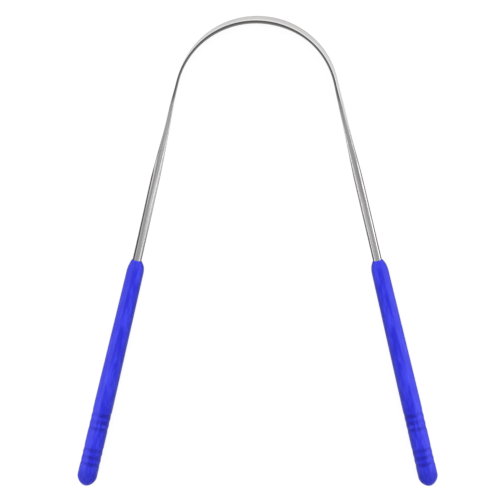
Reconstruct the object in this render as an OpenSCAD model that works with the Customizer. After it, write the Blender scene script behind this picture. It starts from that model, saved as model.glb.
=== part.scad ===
// Tongue scraper: a U of springy steel wire with a moulded grip on each end.
// The wire is round in the arms and pressed to a flat band round the arch,
// whose two thin edges do the scraping.
// The U lies in the XY plane with its arch towards +Y and rests on Z = 0.
// Squeezing the grips bends the arch, so the wire is split where each side of it flexes.

/* [Wire] */
// Diameter of the round wire
wire_d = 2.7; // [2.2:0.1:3]
// Thickness of the band that the wire is pressed to
band_t = 1; // [0.8:0.05:1.2]
// Width of the band, from one scraping edge to the other
band_w = 5.9; // [4.8:0.1:6.4]

/* [Arch] */
// Radius of the arch, to the middle of the band
arch_r = 24.2; // [20:0.2:30]
// Angle by which each arm leans outwards
arm_lean = 12.9; // [8:0.1:18]
// Angle from the top of the arch to the line that each side flexes about
flex_angle = 40; // [30:1:50]
// Running gap between the rounded end of an arm and the scraping band
flex_gap = 0.05; // [0.03:0.01:0.08]

/* [Arms] */
// Length of flat band in each arm, below the arch
flat_len = 3; // [2:0.5:12]
// Length over which the band turns into round wire
press_len = 32; // [20:1:40]
// Length of bare round wire above the grip
bare_len = 21.8; // [10:0.2:30]
// Length of wire inside the grip
tang_len = 60; // [50:1:64]

/* [Locking rings in the tang] */
// Number of ring grooves round the wire, which the grip's plastic fills
lock_count = 2; // [1:1:3]
// Distance from the grip's top to the first ring groove
lock_start = 14; // [10:1:18]
// Distance from one ring groove to the next
lock_pitch = 14; // [8:1:15]
// Width of a ring groove
lock_w = 1.6; // [1:0.1:2.4]
// Depth of a ring groove
lock_depth = 0.2; // [0.1:0.05:0.3]

/* [Grips] */
// Length of a grip
grip_len = 72; // [68:1:90]
// Diameter of a grip at its top, below the rounding
grip_top_d = 5.1; // [4.4:0.1:5.4]
// Diameter of a grip's straight lower part
grip_end_d = 5.9; // [5.4:0.1:7]
// Length of the straight lower part
straight_len = 24; // [23:1:30]
// Length of the rounding at the top, if it ran on to a point
top_round_len = 4.2; // [2.5:0.1:6]
// Width of the flat lip where the top meets the wire
lip_w = 0.15; // [0.1:0.05:0.3]
// Length of the rounding at the lower end
end_round_len = 3.2; // [2:0.1:4]
// Gap between the wire and the bore that it fills
fit_gap = 0.02; // [0.01:0.01:0.05]

/* [Finger rings on the grips] */
// Number of groups of rings
group_count = 2; // [1:1:2]
// Number of rings in a group
ring_count = 3; // [1:1:3]
// Distance from the grip's end to the middle of the first ring
ring_start = 7.4; // [6:0.1:8]
// Distance from one ring to the next
ring_pitch = 2.25; // [1.8:0.05:2.5]
// Distance from the last ring of a group to the first of the next
group_gap = 6.8; // [4:0.1:7]
// Width of a ring
ring_w = 1.5; // [1:0.1:1.7]
// Depth of a ring
ring_depth = 0.2; // [0.1:0.05:0.4]

/* [Hidden] */
$fn = 128;

steel_colour = "silver";
grip_colour = [0.22, 0.22, 0.86];

LEFT = -1;
RIGHT = 1;
quarter_turn = 90;

// Overrun of every cut past the face that it opens
overrun = 1;

// Steps along the pressed leg, and how fast its width falls as its thickness grows
press_steps = 10;
width_falloff = 2.5;
// How far the flats stand clear of the round wire where they run out
flat_runout = 0.05;
// How far the round of the leg's edges starts outside the band's corners
corner_gap = 0.02;

// Steps in each rounding of a grip, and the fullness of the lower one, where 2 is an ellipse
round_steps = 12;
end_fullness = 1.75;

// The arch from an arm to the line that it flexes about
arm_arc_angle = quarter_turn - arm_lean - flex_angle;
// Distances along an arm, counted from where it leaves the arch
press_end = flat_len + press_len;
grip_start = press_end + bare_len;
wire_end = grip_start + tang_len;

bore_r = wire_d / 2 + fit_gap;
ring_cut_r = (ring_w * ring_w / 4 + ring_depth * ring_depth) / (2 * ring_depth);

// The wire's axis stands at the height that lets the fatter of band and grip touch Z = 0
axis_z = max(band_w, grip_end_d) / 2;

// A smooth step from 0 to 1
function smooth(share) = share * share * (3 - 2 * share);

// Half the thickness of the pressed wire, and the radius of the round that its edges follow
function press_half_t(share) =
    band_t / 2 + (wire_d / 2 + flat_runout - band_t / 2) * smooth(share);
function press_edge_r(share) =
    let (band_r = norm([band_t, band_w]) / 2 + corner_gap)
    wire_d / 2 + (band_r - wire_d / 2) * pow(1 - smooth(share), width_falloff);

// The rounded top: part of an ellipse, from the lip to the top of the taper
top_start_angle = asin((bore_r + lip_w) / (grip_top_d / 2));
top_points = [
    for (i = [0 : round_steps])
        let (turn = top_start_angle + (quarter_turn - top_start_angle) * i / round_steps)
        [grip_top_d / 2 * sin(turn), top_round_len * (cos(top_start_angle) - cos(turn))]
];

// The rounded end: a superellipse, from the straight part to the tip on the axis
end_power = 2 / end_fullness;
end_points = [
    for (i = [0 : round_steps])
        let (turn = quarter_turn * (1 - i / round_steps))
        [
            grip_end_d / 2 * pow(sin(turn), end_power),
            grip_len - end_round_len * (1 - pow(cos(turn), end_power))
        ]
];
straight_start = grip_len - end_round_len - straight_len;
grip_outline = concat(top_points, [[grip_end_d / 2, straight_start]], end_points);

// How far the grips reach from the arch's centre, which puts the middle of the length at Y = 0
grip_reach = max([
    for (point = grip_outline)
        (grip_start + point.y) * cos(arm_lean) + point.x * sin(arm_lean)
]) - arch_r * sin(arm_lean);
arch_y = (grip_reach - arch_r - band_t / 2) / 2;

// The frame at the centre of the arch, at the height of the wire's axis
module at_arch() {
    translate([0, arch_y, axis_z]) children();
}

// The same frame turned with an arm, so that the arm runs along -Y from X = arch_r.
// The left side is the right one mirrored.
module at_arm(side) {
    mirror([side == LEFT ? 1 : 0, 0, 0]) at_arch() rotate([0, 0, arm_lean]) children();
}

// A frame on the arm's axis, with +Z running down the arm from a given distance
module along_arm(distance) {
    translate([arch_r, 0, 0]) rotate([quarter_turn, 0, 0]) translate([0, 0, distance]) children();
}

// The line that one side of the arch flexes about
module at_flex_line() {
    rotate([0, 0, arm_arc_angle]) translate([arch_r, 0, 0]) children();
}

// A length of the arch's band, from X towards Y
module band_arc(angle) {
    rotate_extrude(angle = angle)
        translate([arch_r, 0]) square([band_t, band_w], center = true);
}

// The straight band between the arch and the pressed leg
module flat_leg() {
    translate([arch_r - band_t / 2, -flat_len, -band_w / 2]) cube([band_t, flat_len, band_w]);
}

// The pressed wire seen from above: its flat sides open out until they clear the round wire
module wire_outline() {
    one_side = concat(
        [
            for (i = [0 : press_steps])
                [press_half_t(i / press_steps), -flat_len - press_len * i / press_steps]
        ],
        [[press_half_t(1), -wire_end - overrun]]
    );
    other_side = [
        for (i = [len(one_side) - 1 : -1 : 0])
            [-one_side[i].x, one_side[i].y]
    ];
    polygon(concat(one_side, other_side));
}

// The round that the wire's edges follow, from the band's corners down to the round wire
module wire_round() {
    rotate_extrude()
        polygon(concat(
            [[0, flat_len]],
            [
                for (i = [0 : press_steps])
                    [press_edge_r(i / press_steps), flat_len + press_len * i / press_steps]
            ],
            [[wire_d / 2, wire_end], [0, wire_end]]
        ));
}

// The wire from the end of the flat band to the end of the tang
module pressed_and_round_wire() {
    intersection() {
        translate([arch_r, 0, 0])
            linear_extrude(height = band_w, center = true) wire_outline();
        along_arm(0) wire_round();
    }
}

// The ring grooves in the tang or, with a gap, the slightly smaller ribs that fill them
module lock_rings(gap) {
    ring_h = lock_w - 2 * gap;
    for (i = [0 : lock_count - 1])
        translate([0, 0, lock_start + i * lock_pitch + gap])
            difference() {
                cylinder(d = wire_d + overrun, h = ring_h);
                cylinder(r = wire_d / 2 - lock_depth + gap, h = ring_h);
            }
}

module arm(side) {
    color(steel_colour)
        at_arm(side) {
            at_flex_line() cylinder(d = band_t, h = band_w, center = true);
            band_arc(arm_arc_angle);
            flat_leg();
            difference() {
                pressed_and_round_wire();
                along_arm(grip_start) lock_rings(0);
            }
        }
}

// The bore that the tang fills, open at the grip's top
module grip_bore() {
    difference() {
        translate([0, 0, -overrun]) cylinder(r = bore_r, h = overrun + tang_len + fit_gap);
        lock_rings(fit_gap);
    }
}

// The rounded cuts of the finger rings, up from the grip's end
module finger_rings() {
    group_pitch = (ring_count - 1) * ring_pitch + group_gap;
    for (group = [0 : group_count - 1])
        for (ring = [0 : ring_count - 1])
            translate([0, 0, grip_len - ring_start - group * group_pitch - ring * ring_pitch])
                rotate_extrude()
                    translate([grip_end_d / 2 - ring_depth + ring_cut_r, 0])
                        circle(r = ring_cut_r);
}

module grip(side) {
    color(grip_colour)
        at_arm(side) along_arm(grip_start)
            difference() {
                rotate_extrude() polygon(concat([[0, 0]], grip_outline));
                grip_bore();
                finger_rings();
            }
}

// The top of the arch, hollowed at both ends for the arms' rounded ends
module scraping_band() {
    color(steel_colour)
        difference() {
            at_arch() rotate([0, 0, quarter_turn - flex_angle]) band_arc(2 * flex_angle);
            for (side = [LEFT, RIGHT])
                at_arm(side) at_flex_line()
                    cylinder(r = band_t / 2 + flex_gap, h = band_w + 2 * overrun, center = true);
        }
}

module left_arm() { arm(LEFT); }
module right_arm() { arm(RIGHT); }
module left_grip() { grip(LEFT); }
module right_grip() { grip(RIGHT); }

scraping_band();
left_arm();
right_arm();
left_grip();
right_grip();
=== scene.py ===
"""The looks of a tongue scraper.

A steel wire is bent to a U and pressed flat round its arch, and has a moulded grip on each end.
"""

import math

import bpy
import numpy as np
from mathutils import Euler, Matrix, Vector


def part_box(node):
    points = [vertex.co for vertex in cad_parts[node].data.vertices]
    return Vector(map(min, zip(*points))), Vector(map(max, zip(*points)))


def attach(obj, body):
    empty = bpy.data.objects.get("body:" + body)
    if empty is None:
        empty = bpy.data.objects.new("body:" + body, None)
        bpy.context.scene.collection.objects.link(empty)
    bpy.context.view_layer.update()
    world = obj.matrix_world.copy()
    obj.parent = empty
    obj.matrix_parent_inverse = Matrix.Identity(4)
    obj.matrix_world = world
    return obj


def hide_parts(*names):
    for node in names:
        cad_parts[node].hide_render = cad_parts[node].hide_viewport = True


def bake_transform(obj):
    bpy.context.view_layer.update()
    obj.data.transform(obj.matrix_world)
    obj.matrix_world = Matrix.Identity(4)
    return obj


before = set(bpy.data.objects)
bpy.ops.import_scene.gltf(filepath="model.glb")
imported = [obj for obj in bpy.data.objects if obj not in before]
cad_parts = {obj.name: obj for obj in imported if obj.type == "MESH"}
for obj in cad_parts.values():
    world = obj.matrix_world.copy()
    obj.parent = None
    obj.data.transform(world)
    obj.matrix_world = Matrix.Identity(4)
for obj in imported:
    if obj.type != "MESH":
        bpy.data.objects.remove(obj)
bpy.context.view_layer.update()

MM = 0.001

# The two sides, each given by the sign of its X
LEFT = -1
RIGHT = 1

# The wire
WIRE_D = 2.7 * MM
BAND_T = 1.0 * MM
BAND_W = 5.9 * MM
ARCH_R = 24.2 * MM
ARM_LEAN = math.radians(12.9)
FLAT_LEN = 3 * MM
PRESS_LEN = 32 * MM
BARE_LEN = 21.8 * MM
TANG_LEN = 60 * MM
# How far the leg's flats stand clear of the round wire where they run out
FLAT_RUNOUT = 0.05 * MM
# How fast the leg's width falls as its thickness grows
WIDTH_FALLOFF = 2.5
# Radius of the band's four corners, and how slightly its faces are crowned
CORNER_R = 0.12 * MM
CROWN_SHARE = 0.25
# The band is a little twisted: its lean at the crown, and what it gains by each shoulder
CROWN_TWIST = math.radians(1.5)
SHOULDER_TWIST = {LEFT: math.radians(-4.1), RIGHT: math.radians(2.8)}
# How much thinner the band grows towards each shoulder, between which angles from the crown
THINNING = {
    LEFT: (0.25, math.radians(15), math.radians(60)),
    RIGHT: (0.31, math.radians(10), math.radians(45)),
}
# How far past the arch the thinning is made up
THINNING_FADE = 9 * MM
# The bend isn't quite true: how high each side bulges, from which distance and over what length
BULGES = {
    LEFT: [(0.15 * MM, 31 * MM, 18 * MM), (0.085 * MM, 46 * MM, 36 * MM)],
    RIGHT: [(0.145 * MM, 2 * MM, 34 * MM)],
}
# How many sections each stretch of the wire has, and how many points each section
ARCH_SECTIONS = 90
FLAT_SECTIONS = 12
PRESS_SECTIONS = 80
BARE_SECTIONS = 24
WIRE_POINTS = 96

# The ring grooves in the tang, which hold the grip
LOCK_COUNT = 2
LOCK_START = 14 * MM
LOCK_PITCH = 14 * MM
LOCK_W = 1.6 * MM
LOCK_DEPTH = 0.2 * MM

# The grips
GRIP_LEN = 72 * MM
GRIP_TOP_D = 5.1 * MM
GRIP_END_D = 5.9 * MM
STRAIGHT_LEN = 24 * MM
TOP_ROUND_LEN = 4.2 * MM
END_ROUND_LEN = 3.2 * MM
END_FULLNESS = 1.75
FIT_GAP = 0.01 * MM
# The thin lip of the top: how far it runs on up the wire, and how thick its edge is
TOP_LIP = 0.35 * MM
LIP_EDGE = 2 * FIT_GAP
# The finger rings: places of their middles, up from the grip's end
RING_START = 7.4 * MM
RING_PITCH = 2.25 * MM
RING_COUNT = 3
GROUP_GAP = 6.8 * MM
GROUP_COUNT = 2
RING_W = 1.4 * MM
RING_DEPTH = 0.08 * MM
RING_SQUARENESS = 3
# A slight waist, which leaves a fuller knob below the rings: its depth, and where it is reached
WAIST_DEPTH = 0.04 * MM
WAIST_RISE = 2 * RING_START
# The fine line where the two halves of the mould met, and how closely the points crowd round it
MOULD_LINE_W = 0.1 * MM
MOULD_LINE_H = 0.03 * MM
CROWDING = 0.8
# How far each grip is moulded off the wire's line at its top, and how that changes down the grip
OFF_LINE = {LEFT: (-0.26 * MM, 0.006), RIGHT: (0.0, 0.0)}
# Over what length from the lip's edge it comes in
OFF_LINE_RISE = 1.8 * MM
# How many places the outline has at the end, at the top and between, and how many points round it
END_PLACES = 30
TOP_PLACES = 20
BODY_PLACES = 420
GRIP_POINTS = 128

# Painted shade on the band's edges: how far past the arch it fades out, and how fast it comes
# up over the rolled corners
EDGE_FADE = 15 * MM
EDGE_RISE = 2

# Painted highlight and painted shade on the leg and the round wire. Places and widths across it
# are shares of half its thickness, from the middle outwards.
# The painted shade on the outer side: where it starts, how much further out it does where the
# outer flat runs out, how soon it is full, and how much nearer the middle it starts at the grip
OUTER_DARK_START = {LEFT: 0.61, RIGHT: 0.76}
OUTER_DARK_MOVE = {LEFT: 0.2, RIGHT: 0.0}
OUTER_DARK_WIDTH = 0.19
OUTER_DARK_GROWTH = 0.08
# The painted shade on the inner side, with its strength
INNER_DARK_START = {LEFT: 0.78, RIGHT: 0.66}
INNER_DARK_WIDTH = 0.2
INNER_DARK_GROWTH = 0.11
INNER_DARK_STRENGTH = 0.85
# Where past the arch the outer flat runs out, over what length, and by what share of its place
# that moves a fine line away from the middle
RUN_OUT_PLACE = 25.5 * MM
RUN_OUT_LEN = 2.5 * MM
RUN_OUT_MOVE = 0.25
# Fine painted lines, a highlight and a shade beside the outer flat and a shade inside: place,
# width, where past the arch each starts and begins to fade, and over what length it fades
# A fine line of painted highlight
PAINTED_HIGHLIGHT_LINE = (0.56, 0.19, 23 * MM, 31 * MM, 12 * MM)
# Fine lines of painted shade, beside the outer flat and inside
DARK_LINE = (0.27, 0.2, 23 * MM, 33 * MM, 16 * MM)
INNER_DARK_LINE = (-0.2, 0.28, 30 * MM, 42 * MM, 10 * MM)
# How strong the three are on each side, and over what length they come up
LINE_STRENGTHS = {LEFT: (1.0, 0.25, 0.0), RIGHT: (0.75, 0.45, 0.36)}
LINE_RISE = 4 * MM
# The painted shade of the sides and lines is on the upper side: from how high up, in shares of
# half the wire's width, and how soon it is full
UPPER_SIDE = (-0.3, 0.25)

# Painted shade and painted light on the grips, in shares of the radius: from how far in or out
# they start, how soon they are full, and how strong they are
INNER_FLANK_SHADE = (0.4, 0.6)
OUTER_FLANK_SHADE = (0.7, 0.3, 0.7)
# Painted light on the outer half
LIT_HALF = (0.2, 0.25)
# How the painted shade in the finger rings fades towards the outside, in the same way
RING_SHADE_FADE = (0.0, 0.7, 0.55)
# The painted shade at the lower end: where it starts, how soon it is full, how dark, and how much
# of the painted light it takes away
LOWER_END_START = GRIP_LEN - 2.6 * END_ROUND_LEN
LOWER_END_RISE = 1.6 * END_ROUND_LEN
LOWER_END_SHADE = 0.55
LOWER_END_LIGHT_CUT = 0.5

# Colours of the steel
DRAWN_STEEL = (0.505, 0.496, 0.494)
BRIGHT_STEEL = (0.594, 0.580, 0.576)
DULL_STEEL = (0.415, 0.405, 0.407)
# A painted highlight, on the band's face near its upper edge and along a fine line of the leg
PAINTED_HIGHLIGHT_STEEL = (0.88, 0.86, 0.85)
# Painted shade on the band's face near its lower edge
SHADED_STEEL = (0.346, 0.338, 0.337)
# Painted shade on the band's edges, lighter on their inner side and darker on their outer side
PAINTED_EDGE_SHADE_INNER = (0.415, 0.406, 0.404)
PAINTED_EDGE_SHADE_OUTER = (0.139, 0.136, 0.138)
# Painted shade on the sides of the leg and the round wire, and in their dark fine lines
FLANK_SHADE_STEEL = (0.04, 0.039, 0.04)

# Colours of the plastic
ROYAL_BLUE = (0.020, 0.022, 0.67)
BRIGHT_BLUE = (0.050, 0.056, 0.86)
DEEP_BLUE = (0.017, 0.018, 0.64)
# Painted light on the grips' outer half
PAINTED_LIGHT_BLUE = (0.078, 0.082, 0.84)
# Painted shade on the grips' sides and at their lower end
SHADE_BLUE = (0.003, 0.006, 0.20)
# Painted shade in the finger rings
RING_SHADE_BLUE = (0.012, 0.012, 0.42)

# The floor: its reach and its colour, and the glow that it has where it is seen, with its share
FLOOR_REACH = 3.0
FLOOR_COLOUR = (0.85, 0.85, 0.845)
FLOOR_GLOW = 1.1
FLOOR_GLOW_SHARE = 0.8
# The room's colour round the horizon and high up
HORIZON = (0.70, 0.70, 0.70)
ZENITH = (0.58, 0.58, 0.59)

# Soft boxes, small ones low over the middle and by each side, two further off, and a large one
# beyond the arch: name, place, point looked at, width, height, and how bright the face is
SOFT_BOXES = [
    ("middle_box", (0, 0.003, 0.03), (-0.006, 0.003, 0), 0.02, 0.065, 0.55),
    ("left_shoulder_box", (-0.03, 0.012, 0.08), (-0.03, 0.012, 0), 0.012, 0.028, 0.5),
    ("right_low_box", (0.16, -0.015, 0.022), (0.03, -0.015, 0.01), 0.09, 0.04, 2.5),
    ("right_grip_box", (0.11, -0.065, 0.06), (0.048, -0.055, 0), 0.075, 0.03, 1.2),
    ("left_grip_box", (-0.11, -0.065, 0.06), (-0.048, -0.055, 0), 0.075, 0.03, 2.0),
    ("right_side_box", (0.35, -0.16, 0.28), (-0.03, 0.01, 0), 0.16, 0.12, 1.3),
    ("left_side_box", (-0.38, -0.10, 0.12), (0.03, 0.01, 0), 0.3, 0.16, 0.3),
    ("top_soft_box", (0, 0.6, 0.8), (0, 0, 0), 0.8, 0.8, 1.9),
]

# The camera: 500 pixels of 0.3 mm, seen from slightly above the arch and slightly to the right
PHOTO_PIXELS = 500
PIXEL = 0.301 * MM
CAMERA_DISTANCE = 2.0
CAMERA_PITCH = math.radians(13.7)
CAMERA_YAW = math.radians(0.7)
CAMERA_ROLL = math.radians(-0.17)
CAMERA_TARGET = Vector((-2.15 * MM, 1.19 * MM, 2.95 * MM))
SENSOR = 36.0
NEAREST_SEEN = 0.1
FURTHEST_SEEN = 20.0

GRIP_TOP = FLAT_LEN + PRESS_LEN + BARE_LEN
WIRE_END = GRIP_TOP + TANG_LEN
ARCH_LEN = ARCH_R * (math.pi / 2 - ARM_LEAN)
BORE_R = WIRE_D / 2 + FIT_GAP

# The arch's centre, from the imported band's box
band_low, band_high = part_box("scraping_band")
ARCH_CENTRE = np.array([
    0.0,
    band_high.y - BAND_T / 2 - ARCH_R,
    (band_low.z + band_high.z) / 2,
])


def smooth(share):
    """A smooth step from 0 to 1: share squared, times 3 minus twice the share."""
    share = np.clip(share, 0, 1)
    return share * share * (3 - 2 * share)


def rising(value, start, width, most=1.0):
    """A smooth step from 0 where a value is at the start, to most where it is a width on."""
    return most * smooth((value - start) / width)


def wire_line(distance):
    """Points of the wire's middle line on the right side, and its outward direction.

    They are given by their distance from the crown. Round the arch the point is the centre plus
    the radius times (sin, cos) of distance / radius. Past the arch it runs straight on along
    (cos, -sin) of the last angle. The outward direction is (sin, cos) of that angle.
    """
    turn = np.minimum(distance, ARCH_LEN) / ARCH_R
    past = np.maximum(distance - ARCH_LEN, 0)[:, None]
    flat = np.zeros_like(turn)
    outward = np.stack([np.sin(turn), np.cos(turn), flat], 1)
    onward = np.stack([np.cos(turn), -np.sin(turn), flat], 1)
    return ARCH_CENTRE + ARCH_R * outward + past * onward, outward


def sections(distance, across, up):
    """Points of sections that stand square to the wire's line, one at each distance.

    A point is the line's point plus across times the outward direction, raised by up.
    """
    line, outward = wire_line(distance)
    points = line[:, None, :] + across[:, :, None] * outward[:, None, :]
    points[:, :, 2] += up
    return points


def set_mark(mesh, mark, values):
    """A point attribute, from an array of rings x points, or of rings x points x 3.

    The middle point of each end's fan gets the mean of its ring.
    """
    is_vector = values.ndim == 3
    by_ring = values if is_vector else values[:, :, None]
    ends = by_ring[[0, -1]].mean(1)
    every = np.concatenate([by_ring.reshape(-1, by_ring.shape[2]), ends])
    kind, field = ("FLOAT_VECTOR", "vector") if is_vector else ("FLOAT", "value")
    attribute = mesh.attributes.new(mark, kind, "POINT")
    attribute.data.foreach_set(field, every.astype(np.float32).ravel())


def closed_tube(name, rings, start, end, side, marks):
    """A closed mesh through rings of points, with a fan of triangles to the start and to the end.

    Neighbouring rings are joined by four-sided faces, all the way round. The left side is the
    right one mirrored in X. The sign of the enclosed volume, the sum of (a x b) . c / 6 over the
    triangles, says whether the faces point outwards, and they are turned round if they don't.
    """
    rows, columns, _ = rings.shape
    points = np.concatenate([rings.reshape(-1, 3), [start, end]])
    points[:, 0] *= side
    here = np.arange(rows * columns).reshape(rows, columns)
    beside = np.roll(here, -1, axis=1)
    quads = np.stack([here[:-1], beside[:-1], beside[1:], here[1:]], -1).reshape(-1, 4)
    first = np.stack([np.full(columns, rows * columns), beside[0], here[0]], -1)
    last = np.stack([np.full(columns, rows * columns + 1), here[-1], beside[-1]], -1)
    triangles = np.concatenate([quads[:, [0, 1, 2]], quads[:, [0, 2, 3]], first, last])
    a, b, c = (points[triangles[:, i]] for i in range(3))
    if np.einsum("ij,ij->", np.cross(a, b), c) < 0:
        quads, first, last = quads[:, ::-1], first[:, ::-1], last[:, ::-1]

    mesh = bpy.data.meshes.new(name)
    mesh.from_pydata(points, [], quads.tolist() + first.tolist() + last.tolist())
    mesh.polygons.foreach_set("use_smooth", np.ones(len(mesh.polygons), bool))
    for mark, values in marks.items():
        set_mark(mesh, mark, values)
    mesh.update()
    piece = bpy.data.objects.new(name, mesh)
    bpy.context.scene.collection.objects.link(piece)
    return piece


def flatten_caps(piece, columns):
    """The fans at a tube's two ends are flat, and the edges round them sharp.

    Those edges join two points of one ring, the first or the last. A point's ring is its number
    over the columns.
    """
    mesh = piece.data
    flags = np.ones(len(mesh.polygons), bool)
    flags[-2 * columns:] = False
    mesh.polygons.foreach_set("use_smooth", flags)
    points = np.empty(2 * len(mesh.edges), np.int32)
    mesh.edges.foreach_get("vertices", points)
    ring = points.reshape(-1, 2) // columns
    last = (len(mesh.vertices) - 2) // columns - 1
    rim = (ring[:, 0] == ring[:, 1]) & ((ring[:, 0] == 0) | (ring[:, 0] == last))
    mesh.attributes.new("sharp_edge", "BOOLEAN", "EDGE").data.foreach_set("value", rim)
    mesh.update()


def straight_marks(distance, across, up):
    """Each point's place if the wire were pulled straight, in mm: across, up and along."""
    along = np.broadcast_to(distance[:, None], across.shape)
    return np.stack([across, up, along], -1) / MM


def locked_outline(start, end, radius, inset):
    """The tang's outline, or that of the bore: distances from the grip's top, and radii.

    It is straight from the start to the end, with a square step in and out again at each ring
    groove. The bore's ribs are narrower than the grooves, by an inset at both edges.
    """
    locks = LOCK_START + LOCK_PITCH * np.arange(LOCK_COUNT)
    upper = locks + inset
    lower = locks + LOCK_W - inset
    edges = np.stack([upper, upper, lower, lower], 1).ravel()
    in_lock = np.concatenate([[0], np.tile([0, 1, 1, 0], LOCK_COUNT), [0]])
    return np.concatenate([[start], edges, [end]]), radius - LOCK_DEPTH * in_lock


def wire_places():
    """Distances from the crown at which the wire has a section, and the round wire's radii there.

    Each stretch above the tang has its sections in even steps, and the tang has one at each
    corner of its outline.
    """
    stretches = (
        (ARCH_LEN, ARCH_SECTIONS),
        (FLAT_LEN, FLAT_SECTIONS),
        (PRESS_LEN, PRESS_SECTIONS),
        (BARE_LEN, BARE_SECTIONS),
    )
    start = 0
    places = []
    for length, count in stretches:
        places.append(start + np.linspace(0, length, count, endpoint=False))
        start += length
    tang_along, tang_r = locked_outline(0, TANG_LEN, WIRE_D / 2, inset=0)
    distance = np.concatenate([*places, ARCH_LEN + GRIP_TOP + tang_along])
    wire_r = np.full(len(distance), WIRE_D / 2)
    wire_r[-len(tang_r):] = tang_r
    return distance, wire_r


def section_sizes(distance, wire_r, step, side):
    """Half the thickness, half the width and the corner radius of each of the wire's sections.

    With the pressed leg's smooth step m, the half thickness grows by m from the band's to
    slightly more than the round wire's radius, and is cut off there. Thinning takes a share off
    it, which grows by a smooth step between two angles from the crown and fades past the arch.
    The half width is the band's, cut off by an edge radius that falls to the round wire's by
    (1 - m) to a power, and below the pressed leg it is the wire's radius. The corner radius
    grows to the half thickness by the root of m, so that the last sections are round.
    """
    round_half_t = WIRE_D / 2 + FLAT_RUNOUT
    half_t = np.minimum(BAND_T / 2 + (round_half_t - BAND_T / 2) * step, wire_r)
    most, start_angle, end_angle = THINNING[side]
    thinning = rising(distance / ARCH_R, start_angle, end_angle - start_angle, most)
    half_t *= 1 - thinning * (1 - rising(distance, ARCH_LEN, THINNING_FADE))

    band_edge_r = math.hypot(BAND_T, BAND_W) / 2
    edge_r = WIRE_D / 2 + (band_edge_r - WIRE_D / 2) * (1 - step) ** WIDTH_FALLOFF
    half_w = np.where(step < 1, np.minimum(BAND_W / 2, edge_r), wire_r)
    corner = np.minimum(CORNER_R + (half_t - CORNER_R) * np.sqrt(step), half_t)
    return half_t[:, None], half_w[:, None], corner[:, None]


def leg_line(past_arch, outward, run_out, line, strength):
    """How strongly each point shows one of the leg's fine lines of painted highlight and shade.

    Across the wire it is a smooth step of 1 less the distance from the line over its width.
    Along the wire it comes up where the line starts and fades at its end. Where the outer flat
    runs out, the line moves away from the middle, by a share of its place.
    """
    place, width, start, end, fade = line
    along = rising(past_arch, start, LINE_RISE) * (1 - rising(past_arch, end, fade))
    from_line = np.abs(outward - place * (1 + RUN_OUT_MOVE * run_out))
    return strength * along[:, None] * smooth(1 - from_line / width)


def steel_marks(distance, step, across, up, sizes, side):
    """The marks that the steel's colours follow.

    edge says how far a point is on the band's rolled edge, and height how high on its face.
    outward is how far it lies towards the outside, in shares of half the thickness. The flank
    mark says how strongly it shows the painted shade of the sides and lines of the leg and the
    round wire, and another mark how strongly it shows the painted highlight line. The outer
    flat's run-out is e to minus the square of (the distance from its place over its length).
    """
    half_t, half_w, corner = sizes
    past_arch = distance - ARCH_LEN
    outward = across / half_t
    in_arch = (1 - rising(past_arch, 0, EDGE_FADE))[:, None]
    on_edge = smooth(EDGE_RISE * (np.abs(up) - (half_w - corner)) / corner)
    to_grip = rising(past_arch, FLAT_LEN + PRESS_LEN, BARE_LEN)[:, None]
    run_out = np.exp(-((past_arch - RUN_OUT_PLACE) / RUN_OUT_LEN) ** 2)[:, None]

    outer_start = (
        OUTER_DARK_START[side]
        + OUTER_DARK_MOVE[side] * run_out
        - OUTER_DARK_GROWTH * to_grip
    )
    outer_side = rising(outward, outer_start, OUTER_DARK_WIDTH)
    inner_start = INNER_DARK_START[side] - INNER_DARK_GROWTH * to_grip
    inner_side = rising(-outward, inner_start, INNER_DARK_WIDTH, INNER_DARK_STRENGTH)
    lines = zip((PAINTED_HIGHLIGHT_LINE, DARK_LINE, INNER_DARK_LINE), LINE_STRENGTHS[side])
    painted_highlight_line, dark_line, inner_dark_line = (
        leg_line(past_arch, outward, run_out, line, strength) for line, strength in lines
    )
    dark = step[:, None] * (outer_side + inner_side) + dark_line + inner_dark_line
    return {
        "straight": straight_marks(distance, across, up),
        "edge": in_arch * on_edge,
        "height": in_arch * up / half_w,
        "outward": outward,
        "flank_shade": dark * rising(up / half_w, *UPPER_SIDE),
        "painted_highlight_line": painted_highlight_line,
    }


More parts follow.
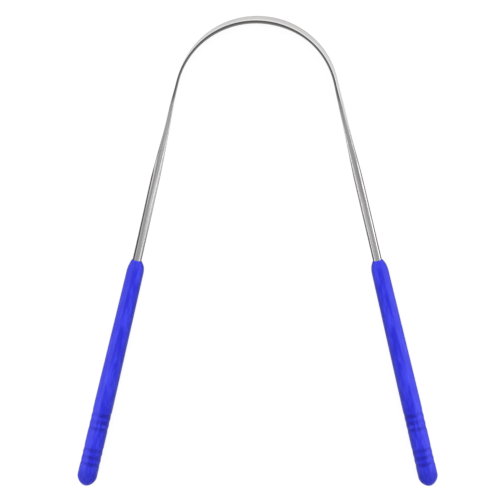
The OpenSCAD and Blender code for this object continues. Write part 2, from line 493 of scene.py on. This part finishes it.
def wire_half(name, side):
    """Half of the wire: a section carried from the crown round the arch and down to the tang.

    A section has half thickness a, half width b and corner radius c. Its point at angle t lies
    (a - c) S(cos t) + c cos t across and (b - c) S(sin t) + c sin t up, where S rises straight
    from -1 to 1 while its argument is within the crown share of 0, and stays there. The section
    is turned by the crown's twist plus the shoulder's times the sine of the angle from the
    crown, all times 1 less the pressed leg's smooth step. Each bulge then moves it outwards, by
    its height times the squared sine of 180 degrees times the share of its length.
    """
    distance, wire_r = wire_places()
    step = rising(distance - ARCH_LEN, FLAT_LEN, PRESS_LEN)
    sizes = section_sizes(distance, wire_r, step, side)
    half_t, half_w, corner = sizes
    angle = np.linspace(0, 2 * math.pi, WIRE_POINTS, endpoint=False)[None, :]
    toward_face = np.clip(np.cos(angle) / CROWN_SHARE, -1, 1)
    toward_edge = np.clip(np.sin(angle) / CROWN_SHARE, -1, 1)
    across = (half_t - corner) * toward_face + corner * np.cos(angle)
    up = (half_w - corner) * toward_edge + corner * np.sin(angle)

    turn = np.minimum(distance, ARCH_LEN) / ARCH_R
    twist = CROWN_TWIST + SHOULDER_TWIST[side] * np.sin(turn)
    twist = (twist * (1 - step))[:, None]
    bulging = np.zeros_like(distance)
    for height, start, length in BULGES[side]:
        share = np.clip((distance - start) / length, 0, 1)
        bulging += height * np.sin(math.pi * share) ** 2
    twisted_across = across * np.cos(twist) - up * np.sin(twist) + bulging[:, None]
    twisted_up = across * np.sin(twist) + up * np.cos(twist)

    rings = sections(distance, twisted_across, twisted_up)
    (crown_end, tang_end), _ = wire_line(distance[[0, -1]])
    marks = steel_marks(distance, step, across, up, sizes, side)
    piece = closed_tube(name, rings, crown_end, tang_end, side, marks)
    flatten_caps(piece, WIRE_POINTS)
    return piece


def ring_middles():
    """Distances of the finger rings' middles from the grip's top."""
    group_pitch = (RING_COUNT - 1) * RING_PITCH + GROUP_GAP
    group, ring = np.meshgrid(np.arange(GROUP_COUNT), np.arange(RING_COUNT))
    return (GRIP_LEN - RING_START - group * group_pitch - ring * RING_PITCH).ravel()


def ring_share(along):
    """How deep in a finger ring a place is, from 0 to 1.

    It is the sum, over the rings, of e to minus (the distance from the ring's middle over half
    its width) to the power of the squareness.
    """
    away = (along[:, None] - ring_middles()[None, :]) / (RING_W / 2)
    return np.exp(-np.abs(away) ** RING_SQUARENESS).sum(1)


def grip_outline():
    """The grip's outline: distances from its top, radii, and how many of them are outside.

    It runs from the lower tip up the outside, over the top and down the bore. The end follows a
    superellipse, and the body a straight part and a straight taper, less the waist and the
    finger rings. The top follows part of an ellipse, stretched up the wire by the lip. The bore
    follows the tang and its ring grooves a fit gap away.
    """
    turn = np.linspace(0, math.pi / 2, END_PLACES)[1:]
    power = 2 / END_FULLNESS
    end_along = GRIP_LEN - END_ROUND_LEN * (1 - np.cos(turn) ** power)
    end_r = GRIP_END_D / 2 * np.sin(turn) ** power

    start_turn = math.asin((BORE_R + LIP_EDGE) / (GRIP_TOP_D / 2))
    top_turn = np.linspace(math.pi / 2, start_turn, TOP_PLACES)
    top_along = TOP_ROUND_LEN * (math.cos(start_turn) - np.cos(top_turn))
    top_along -= TOP_LIP * (1 - top_along / top_along[0])
    top_r = GRIP_TOP_D / 2 * np.sin(top_turn)

    straight_end = GRIP_LEN - END_ROUND_LEN
    straight_start = straight_end - STRAIGHT_LEN
    body_along = np.linspace(straight_end, top_along[0], BODY_PLACES)[1:-1]
    taper = np.clip((straight_start - body_along) / (straight_start - top_along[0]), 0, 1)
    body_r = (GRIP_END_D - (GRIP_END_D - GRIP_TOP_D) * taper) / 2
    body_r -= WAIST_DEPTH * smooth((straight_end - body_along) / WAIST_RISE) * (1 - taper)
    body_r -= RING_DEPTH * ring_share(body_along)

    bore_along, bore_r = locked_outline(-TOP_LIP, TANG_LEN + FIT_GAP, BORE_R, inset=FIT_GAP)
    along = np.concatenate([end_along, body_along, top_along, bore_along])
    radius = np.concatenate([end_r, body_r, top_r, bore_r])
    return along, radius, len(along) - len(bore_along)


def plastic_marks(along, across, up, outward, in_ring):
    """The marks that the plastic's colours follow.

    ring says how deep a point is in a finger ring, less so towards the outside, for the painted
    shade there. The flank mark says how far it is in the painted shade of a side or of the lower
    end, and a third mark how far it is in the painted light of the outer half.
    """
    lower_end = rising(along, LOWER_END_START, LOWER_END_RISE)[:, None]
    sides = rising(-outward, *INNER_FLANK_SHADE) + rising(outward, *OUTER_FLANK_SHADE)
    return {
        "straight": straight_marks(ARCH_LEN + GRIP_TOP + along, across, up),
        # Painted shade in the finger rings, less towards the outside
        "ring": in_ring[:, None] * (1 - rising(outward, *RING_SHADE_FADE)),
        # Painted shade on the sides and at the lower end
        "flank_shade": np.maximum(sides, LOWER_END_SHADE * lower_end),
        "painted_light": rising(outward, *LIT_HALF) * (1 - LOWER_END_LIGHT_CUT * lower_end),
    }


def grip(name, side):
    """A grip: its outline turned round the arm's line, with a raised mould line down both sides.

    The angle is u less the crowding times sin(2u) / 2, for u in even steps, which crowds the
    points near the mould lines. A mould line raises the outside by its height times e to minus
    the square of (the distance from it over its width), and fades where the grip is hardly wider
    than its bore. The outside lies off the arm's line by a shift that changes evenly down the
    grip, and comes in from the lip's edge by a smooth step.
    """
    along, radius, outside_count = grip_outline()
    even = np.linspace(0, 2 * math.pi, GRIP_POINTS, endpoint=False)
    angle = even - CROWDING * np.sin(2 * even) / 2
    from_line = radius[:, None] * np.abs(np.sin(angle))[None, :]
    raised = MOULD_LINE_H * np.exp(-(from_line / MOULD_LINE_W) ** 2)
    raised[outside_count:] = 0
    raised *= rising(radius, BORE_R, BORE_R)[:, None]
    full_r = radius[:, None] + raised
    across = full_r * np.cos(angle)
    up = full_r * np.sin(angle)

    shift, lean = OFF_LINE[side]
    off_line = (shift + lean * along) * rising(along, -TOP_LIP, OFF_LINE_RISE)
    off_line[outside_count:] = 0
    rings = sections(ARCH_LEN + GRIP_TOP + along, across + off_line[:, None], up)
    ends = np.array([ARCH_LEN + GRIP_TOP + GRIP_LEN, ARCH_LEN + WIRE_END + FIT_GAP])
    (tip, bore_end), outwards = wire_line(ends)
    tip += off_line[0] * outwards[0]
    in_ring = ring_share(along)
    in_ring[outside_count:] = 0
    marks = plastic_marks(along, across, up, across / full_r, in_ring)
    return closed_tube(name, rings, tip, bore_end, side, marks)


def add(tree, kind, inputs=None, **settings):
    """A new node with its settings. An input that is a socket is joined, any other is a value."""
    made = tree.nodes.new(kind)
    for key, value in settings.items():
        setattr(made, key, value)
    for key, value in (inputs or {}).items():
        if isinstance(value, bpy.types.NodeSocket):
            tree.links.new(value, made.inputs[key])
        else:
            made.inputs[key].default_value = value
    return made


def new_material(name):
    """A material with an empty node tree."""
    material = bpy.data.materials.new(name)
    material.use_nodes = True
    material.node_tree.nodes.clear()
    return material, material.node_tree


def mark_of(tree, mark, output="Fac"):
    """One of a piece's own marks."""
    return add(tree, "ShaderNodeAttribute", attribute_name=mark).outputs[output]


def streaks(tree, place, scale, stretch, detail=3.0):
    """Noise drawn out along the wire.

    scale is in features a millimetre across the wire, and stretch is what share of that they are
    along it.
    """
    drawn_out = add(tree, "ShaderNodeMapping", {
        "Vector": place,
        "Scale": (1.0, 1.0, stretch),
    })
    noise = add(tree, "ShaderNodeTexNoise", {
        "Vector": drawn_out.outputs["Vector"],
        "Scale": scale,
        "Detail": detail,
        "Roughness": 0.6,
    })
    return noise.outputs["Fac"]


def ranged(tree, value, low, high, to_low, to_high):
    """A value from low to high turned into one between two others, by a smooth step."""
    mapped = add(tree, "ShaderNodeMapRange", {
        "Value": value,
        "From Min": low,
        "From Max": high,
        "To Min": to_low,
        "To Max": to_high,
    }, interpolation_type="SMOOTHSTEP")
    return mapped.outputs["Result"]


def mixed(tree, share, first, second):
    """A colour between two others."""
    mix = add(tree, "ShaderNodeMix", {"Factor": share}, data_type="RGBA")
    for socket, value in (("A", first), ("B", second)):
        into = next(s for s in mix.inputs if s.name == socket and s.type == "RGBA")
        if isinstance(value, bpy.types.NodeSocket):
            tree.links.new(value, into)
        else:
            into.default_value = (*value, 1.0)
    return next(s for s in mix.outputs if s.type == "RGBA")


def tinted(tree, colour, tint, mark, low, high, most=1.0):
    """A colour turned towards a tint: not at all where a mark is at low, by most at high."""
    return mixed(tree, ranged(tree, mark, low, high, 0.0, most), colour, tint)


def steel():
    """Drawn spring steel: bright, with fine lengthwise drawing lines and broader, duller ones.

    The band's face has a painted highlight near its upper edge and painted shade near its lower
    one. Its rolled edges have painted shade, darkest on their outer side. The leg and the round
    wire have painted shade on their sides, and fine lines of painted highlight and painted shade
    where the flats run out.
    """
    material, tree = new_material("drawn_spring_steel")
    place = mark_of(tree, "straight", "Vector")
    height = mark_of(tree, "height")
    fine = streaks(tree, place, scale=7.0, stretch=0.03)
    broad = streaks(tree, place, scale=1.3, stretch=0.05)
    shade = tinted(tree, DRAWN_STEEL, BRIGHT_STEEL, fine, 0.3, 0.7)
    shade = tinted(tree, shade, DULL_STEEL, broad, 0.42, 0.58, most=0.5)
    # Painted highlight on the band's face near its upper edge
    shade = tinted(tree, shade, PAINTED_HIGHLIGHT_STEEL, height, 0.44, 0.71, most=0.95)
    # Painted shade on the band's face near its lower edge
    shade = tinted(tree, shade, SHADED_STEEL, height, -0.47, -0.88, most=0.9)
    # Painted highlight along a fine line of the leg
    shade = tinted(tree, shade, PAINTED_HIGHLIGHT_STEEL, mark_of(tree, "painted_highlight_line"), 0.0, 1.0, most=0.75)
    outward = mark_of(tree, "outward")
    # Painted shade on the band's edges, darkest on their outer side
    edge_shade = tinted(tree, PAINTED_EDGE_SHADE_INNER, PAINTED_EDGE_SHADE_OUTER, outward, -0.9, 0.5)
    shade = tinted(tree, shade, edge_shade, mark_of(tree, "edge"), 0.2, 0.9)
    # Painted shade on the sides and fine lines of the leg and the round wire
    shade = tinted(tree, shade, FLANK_SHADE_STEEL, mark_of(tree, "flank_shade"), 0.0, 0.9, most=0.95)
    drawing_lines = add(tree, "ShaderNodeBump", {
        "Strength": 0.12,
        "Distance": 0.01 * MM,
        "Height": fine,
    })
    surface = add(tree, "ShaderNodeBsdfPrincipled", {
        "Base Color": shade,
        "Metallic": 1.0,
        "Roughness": ranged(tree, broad, 0.3, 0.7, 0.2, 0.3),
        "Normal": drawing_lines.outputs["Normal"],
    })
    add(tree, "ShaderNodeOutputMaterial", {"Surface": surface.outputs["BSDF"]})
    return material


def plastic():
    """Moulded plastic: royal blue with faint lengthwise streaks and mottling, and a soft gloss.

    It has painted light on its outer half, and painted shade on its sides, at its lower end and,
    in patches, in the finger rings.
    """
    material, tree = new_material("royal_blue_plastic")
    place = mark_of(tree, "straight", "Vector")
    fine = streaks(tree, place, scale=1.3, stretch=0.2)
    broad = streaks(tree, place, scale=0.45, stretch=0.3)
    patchy = streaks(tree, place, scale=0.4, stretch=1.0, detail=1.0)
    grain = streaks(tree, place, scale=9.0, stretch=0.8, detail=2.0)
    blue = tinted(tree, ROYAL_BLUE, BRIGHT_BLUE, fine, 0.34, 0.66)
    blue = tinted(tree, blue, DEEP_BLUE, broad, 0.4, 0.62, most=0.6)
    # Painted light on the outer half of the grip
    blue = tinted(tree, blue, PAINTED_LIGHT_BLUE, mark_of(tree, "painted_light"), 0.0, 1.0, most=0.4)
    # Painted shade on the sides and at the lower end of the grip
    blue = tinted(tree, blue, SHADE_BLUE, mark_of(tree, "flank_shade"), 0.0, 1.0, most=0.55)
    # Painted shade in the finger rings, in patches
    ring_shade = add(tree, "ShaderNodeMath", {
        0: ranged(tree, mark_of(tree, "ring"), 0.1, 0.9, 0.0, 1.0),
        1: ranged(tree, patchy, 0.4, 0.6, 0.45, 1.0),
    }, operation="MULTIPLY")
    blue = mixed(tree, ring_shade.outputs[0], blue, RING_SHADE_BLUE)
    streaky = add(tree, "ShaderNodeBump", {
        "Strength": 0.35,
        "Distance": 0.03 * MM,
        "Height": fine,
    })
    grainy = add(tree, "ShaderNodeBump", {
        "Strength": 0.15,
        "Distance": 0.01 * MM,
        "Height": grain,
        "Normal": streaky.outputs["Normal"],
    })
    surface = add(tree, "ShaderNodeBsdfPrincipled", {
        "Base Color": blue,
        "Roughness": ranged(tree, broad, 0.3, 0.7, 0.38, 0.5),
        "IOR": 1.46,
        "Specular IOR Level": 0.25,
        "Normal": grainy.outputs["Normal"],
    })
    add(tree, "ShaderNodeOutputMaterial", {"Surface": surface.outputs["BSDF"]})
    return material


def pale_floor():
    """A white floor that keeps the object's shadow.

    Camera, glossy and transmitted rays see it nearly at full white. From below it is clear, so
    that the object's underside can be seen.
    """
    material, tree = new_material("pale_floor")
    path = add(tree, "ShaderNodeLightPath")
    seen = path.outputs["Is Camera Ray"]
    for ray in ("Is Glossy Ray", "Is Transmission Ray"):
        either = add(tree, "ShaderNodeMath", {0: seen, 1: path.outputs[ray]}, operation="MAXIMUM")
        seen = either.outputs[0]
    share = add(tree, "ShaderNodeMath", {0: seen, 1: FLOOR_GLOW_SHARE}, operation="MULTIPLY")
    plain = add(tree, "ShaderNodeBsdfDiffuse", {"Color": (*FLOOR_COLOUR, 1.0)})
    white = add(tree, "ShaderNodeEmission", {
        "Color": (1.0, 1.0, 1.0, 1.0),
        "Strength": FLOOR_GLOW,
    })
    top = add(tree, "ShaderNodeMixShader", {
        0: share.outputs[0],
        1: plain.outputs["BSDF"],
        2: white.outputs["Emission"],
    })
    both = add(tree, "ShaderNodeMixShader", {
        0: add(tree, "ShaderNodeNewGeometry").outputs["Backfacing"],
        1: top.outputs["Shader"],
        2: add(tree, "ShaderNodeBsdfTransparent").outputs["BSDF"],
    })
    add(tree, "ShaderNodeOutputMaterial", {"Surface": both.outputs["Shader"]})
    return material


def floor():
    """One large square that the object lies on."""
    corners = FLOOR_REACH * np.array([(-1, -1, 0), (1, -1, 0), (1, 1, 0), (-1, 1, 0)])
    mesh = bpy.data.meshes.new("floor")
    mesh.from_pydata(corners, [], [(0, 1, 2, 3)])
    mesh.materials.append(pale_floor())
    made = bpy.data.objects.new("floor", mesh)
    bpy.context.scene.collection.objects.link(made)


def studio_air():
    """The room as the world: pale round the horizon, and greyer high up."""
    world = bpy.data.worlds.new("studio")
    bpy.context.scene.world = world
    world.use_nodes = True
    tree = world.node_tree
    tree.nodes.clear()
    direction = add(tree, "ShaderNodeTexCoord").outputs["Generated"]
    parts = add(tree, "ShaderNodeSeparateXYZ", {"Vector": direction})
    colour = tinted(tree, HORIZON, ZENITH, parts.outputs["Z"], 0.25, 0.7)
    background = add(tree, "ShaderNodeBackground", {"Color": colour})
    add(tree, "ShaderNodeOutputWorld", {"Surface": background.outputs["Background"]})


def soft_box(name, place, aim, width, height, glow):
    """A soft area lamp that looks at a point. glow is how bright its face is, where 1 is white."""
    lamp = bpy.data.lights.new(name, "AREA")
    lamp.shape = "RECTANGLE"
    lamp.size = width
    lamp.size_y = height
    lamp.energy = glow * math.pi * width * height
    made = bpy.data.objects.new(name, lamp)
    made.visible_camera = False
    bpy.context.scene.collection.objects.link(made)
    towards = (Vector(aim) - Vector(place)).normalized()
    turn = towards.to_track_quat("-Z", "Y").to_matrix().to_4x4()
    made.matrix_world = Matrix.Translation(place) @ turn


def camera():
    """The camera, turned from looking straight down.

    The lens takes in the photograph's frame at the camera's distance.
    """
    data = bpy.data.cameras.new("camera")
    data.sensor_width = SENSOR
    data.lens = SENSOR * CAMERA_DISTANCE / (PHOTO_PIXELS * PIXEL)
    data.clip_start = NEAREST_SEEN
    data.clip_end = FURTHEST_SEEN
    made = bpy.data.objects.new("camera", data)
    bpy.context.scene.collection.objects.link(made)
    turn = Euler((-CAMERA_PITCH, CAMERA_YAW, CAMERA_ROLL)).to_matrix().to_4x4()
    back = Matrix.Translation((0, 0, CAMERA_DISTANCE))
    made.matrix_world = Matrix.Translation(CAMERA_TARGET) @ turn @ back
    bpy.context.scene.camera = made


camera()
steel_finish = steel()
plastic_finish = plastic()

for side_name, side in (("left", LEFT), ("right", RIGHT)):
    half = wire_half(side_name + "_wire", side)
    half.data.materials.append(steel_finish)
    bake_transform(half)
    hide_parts("scraping_band", side_name + "_arm")

    handle = grip(side_name + "_moulded_grip", side)
    handle.data.materials.append(plastic_finish)
    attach(handle, side_name + "_side")
    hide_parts(side_name + "_grip")

floor()
studio_air()
for box in SOFT_BOXES:
    soft_box(*box)
bpy.context.scene.view_settings.view_transform = "Standard"
